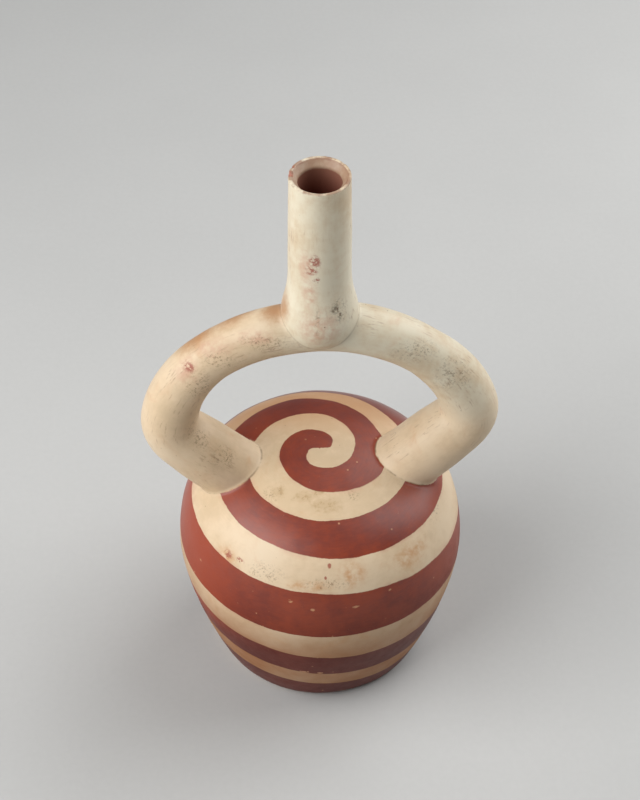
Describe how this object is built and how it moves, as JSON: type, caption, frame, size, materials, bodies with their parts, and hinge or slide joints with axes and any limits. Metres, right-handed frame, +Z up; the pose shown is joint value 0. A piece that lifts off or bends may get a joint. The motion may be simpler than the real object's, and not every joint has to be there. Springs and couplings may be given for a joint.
{
  "type": "stirrup spout vessel",
  "caption": "Hollow fired clay vessel: a domed round jar with a flat base, a tubular stirrup rising from its dome and an upright spout on the stirrup, painted with a cream and red spiral.",
  "frame": {"origin": "middle of the flat base, on the axis of the jar", "axes": "+Z up along the jar and the spout, X in the plane of the stirrup, Y across it"},
  "size_m": [0.1689, 0.14, 0.2924],
  "materials": {
    "painted_clay": "burnished cream slip with red-brown slip paint"
  },
  "bodies": {
    "root": {"stirrup_spout_vessel": "painted_clay"}
  },
  "joints": []
}
